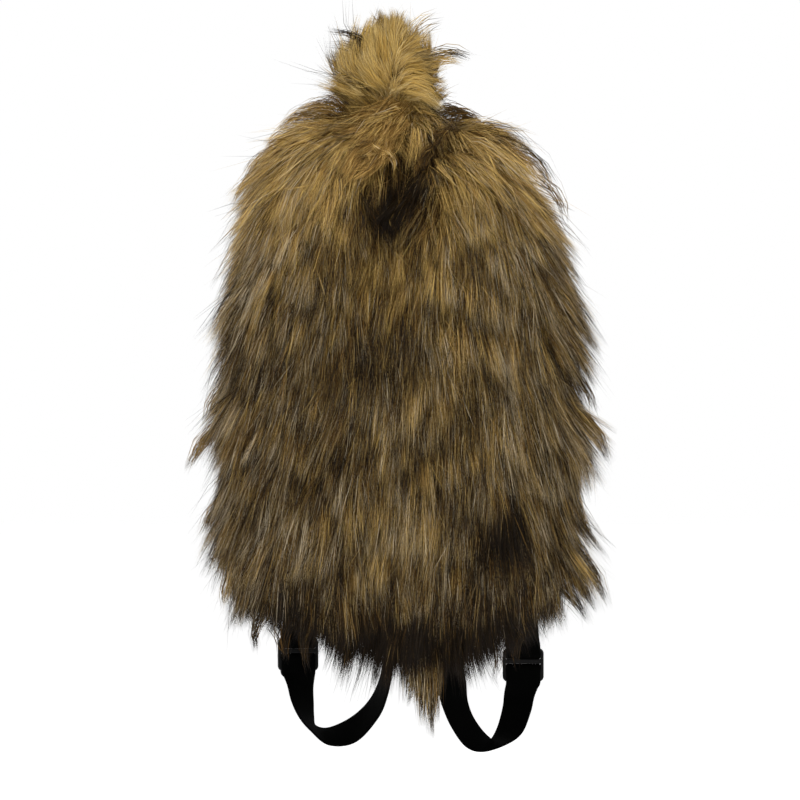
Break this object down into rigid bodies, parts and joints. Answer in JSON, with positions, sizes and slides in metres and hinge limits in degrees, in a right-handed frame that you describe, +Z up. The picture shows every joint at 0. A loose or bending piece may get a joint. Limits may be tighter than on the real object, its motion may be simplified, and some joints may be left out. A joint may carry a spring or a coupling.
{
  "type": "fur backpack",
  "caption": "Long-pile faux-fur backpack with a gathered neck, a fur puff on top and black webbing straps with plastic sliders.",
  "frame": {"origin": "inside top of the hanging loop behind the neck, where a hook or peg carries the bag", "axes": "+Z up as it hangs, -Y to the front of the bag, +X to the right as seen from the front"},
  "size_m": [0.301, 0.182, 0.5505],
  "materials": {
    "fur": "long shaggy faux-fur pile, golden tan roots going brown with near-black tips",
    "puff_fur": "long soft faux-fur pile, golden tan",
    "black_webbing": "woven black polyester webbing, satin",
    "black_plastic": "moulded black acetal, satin"
  },
  "bodies": {
    "root": {"fur_front_panel": "fur", "fur_back_panel": "fur", "tail_tuft": "fur", "fur_puff": "puff_fur", "hang_loop": "black_webbing", "shoulder_strap_left": "black_webbing", "shoulder_strap_right": "black_webbing", "strap_loop_left": "black_webbing", "strap_loop_right": "black_webbing", "slider_left": "black_plastic", "slider_right": "black_plastic"}
  },
  "joints": []
}
